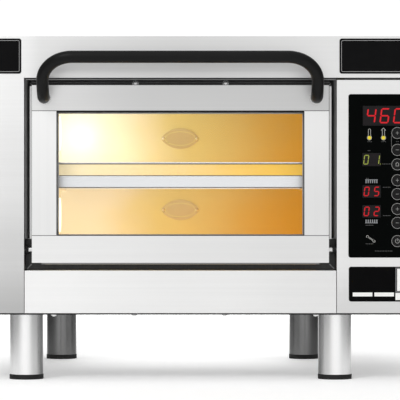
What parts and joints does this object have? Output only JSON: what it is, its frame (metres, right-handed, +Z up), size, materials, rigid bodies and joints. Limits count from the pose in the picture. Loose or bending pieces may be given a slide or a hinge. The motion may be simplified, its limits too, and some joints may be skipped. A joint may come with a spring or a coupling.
{
  "type": "deck oven",
  "caption": "Electric countertop deck oven with a drop-down glass door, bar handle, hearth stones, side control panel and tubular legs.",
  "frame": {"origin": "on the surface that the feet stand on, under the middle of the oven's overall box, from the handle's front to the end of the steam pipe", "axes": "+X to the right as seen from the front, +Y from the door to the rear, +Z up"},
  "size_m": [0.695, 0.673, 0.51],
  "materials": {
    "brushed_front": "satin",
    "bright_steel": "satin",
    "casing_steel": "satin",
    "dark_steel": "satin",
    "chamber_steel": "satin",
    "hearth_stone": "matte",
    "insulation": "matte",
    "black_gloss": "gloss",
    "black_plastic": "matte",
    "key_plastic": "gloss",
    "board": "satin",
    "grey_plastic": "matte",
    "black_coating": "satin",
    "clear_glass": "gloss",
    "seal": "matte"
  },
  "bodies": {
    "oven": {"front_fascia": "brushed_front", "control_front_panel": "brushed_front", "lower_front_panel": "brushed_front", "top_cover": "casing_steel", "left_side_panel": "casing_steel", "right_side_panel": "casing_steel", "rear_panel": "casing_steel", "base_tray": "casing_steel", "badge_plates": "black_gloss", "casing_screws": "dark_steel", "chassis_frame": "casing_steel", "front_frame": "dark_steel", "side_channels": "bright_steel", "chamber_liner": "chamber_steel", "hearth_stone_upper": "hearth_stone", "hearth_stone_lower": "hearth_stone", "stone_carriers": "bright_steel", "heating_elements": "dark_steel", "insulation_blocks": "insulation", "oval_cover_plates": "chamber_steel", "lamp_holders": "dark_steel", "lamp_bulbs": "clear_glass", "lamp_glasses": "clear_glass", "thermocouple": "dark_steel", "steam_vent": "bright_steel", "partition_wall": "casing_steel", "keypad_face": "black_gloss", "controller_board": "board", "segment_displays": "black_gloss", "rating_plate": "black_gloss", "din_rail": "casing_steel", "contactors": "black_plastic", "terminal_block": "grey_plastic", "fan_housing": "black_plastic", "cable_gland": "black_plastic", "hinge_bearings": "dark_steel", "leg_tubes": "bright_steel"},
    "door": {"door_top_rail": "brushed_front", "door_bottom_rail": "brushed_front", "door_stiles": "bright_steel", "door_inner_frame": "casing_steel", "outer_glass": "clear_glass", "inner_glass": "clear_glass", "door_seal": "seal", "door_handle": "black_coating", "handle_sockets": "bright_steel", "hinge_pins": "bright_steel"},
    "key_1": {"key_1": "key_plastic"},
    "key_2": {"key_2": "key_plastic"},
    "key_3": {"key_3": "key_plastic"},
    "key_4": {"key_4": "key_plastic"},
    "key_5": {"key_5": "key_plastic"},
    "key_6": {"key_6": "key_plastic"},
    "key_7": {"key_7": "key_plastic"},
    "key_8": {"key_8": "key_plastic"},
    "foot_front_left": {"foot_front_left": "black_plastic"},
    "foot_front_right": {"foot_front_right": "black_plastic"},
    "foot_rear_left": {"foot_rear_left": "black_plastic"},
    "foot_rear_right": {"foot_rear_right": "black_plastic"},
    "fan_rotor": {"fan_rotor": "black_plastic"}
  },
  "joints": [
    {"name": "door_hinge", "type": "hinge", "parent": "oven", "child": "door", "pos_m": [-0.029, -0.22851, 0.1935], "axis": [1, 0, 0], "range_deg": [0, 90]},
    {"name": "key_1_press", "type": "slide", "parent": "oven", "child": "key_1", "axis": [0, 1, 0], "range_m": [0, 0.0008], "stiffness_N_per_m": 2500},
    {"name": "key_2_press", "type": "slide", "parent": "oven", "child": "key_2", "axis": [0, 1, 0], "range_m": [0, 0.0008], "stiffness_N_per_m": 2500},
    {"name": "key_3_press", "type": "slide", "parent": "oven", "child": "key_3", "axis": [0, 1, 0], "range_m": [0, 0.0008], "stiffness_N_per_m": 2500},
    {"name": "key_4_press", "type": "slide", "parent": "oven", "child": "key_4", "axis": [0, 1, 0], "range_m": [0, 0.0008], "stiffness_N_per_m": 2500},
    {"name": "key_5_press", "type": "slide", "parent": "oven", "child": "key_5", "axis": [0, 1, 0], "range_m": [0, 0.0008], "stiffness_N_per_m": 2500},
    {"name": "key_6_press", "type": "slide", "parent": "oven", "child": "key_6", "axis": [0, 1, 0], "range_m": [0, 0.0008], "stiffness_N_per_m": 2500},
    {"name": "key_7_press", "type": "slide", "parent": "oven", "child": "key_7", "axis": [0, 1, 0], "range_m": [0, 0.0008], "stiffness_N_per_m": 2500},
    {"name": "key_8_press", "type": "slide", "parent": "oven", "child": "key_8", "axis": [0, 1, 0], "range_m": [0, 0.0008], "stiffness_N_per_m": 2500},
    {"name": "foot_front_left_screw", "type": "slide", "parent": "oven", "child": "foot_front_left", "axis": [0, 0, -1], "range_m": [0, 0.025]},
    {"name": "foot_front_right_screw", "type": "slide", "parent": "oven", "child": "foot_front_right", "axis": [0, 0, -1], "range_m": [0, 0.025]},
    {"name": "foot_rear_left_screw", "type": "slide", "parent": "oven", "child": "foot_rear_left", "axis": [0, 0, -1], "range_m": [0, 0.025]},
    {"name": "foot_rear_right_screw", "type": "slide", "parent": "oven", "child": "foot_rear_right", "axis": [0, 0, -1], "range_m": [0, 0.025]},
    {"name": "fan_spin", "type": "hinge", "parent": "oven", "child": "fan_rotor", "pos_m": [0.28085, 0.30149, 0.4], "axis": [0, 1, 0], "continuous": true}
  ]
}
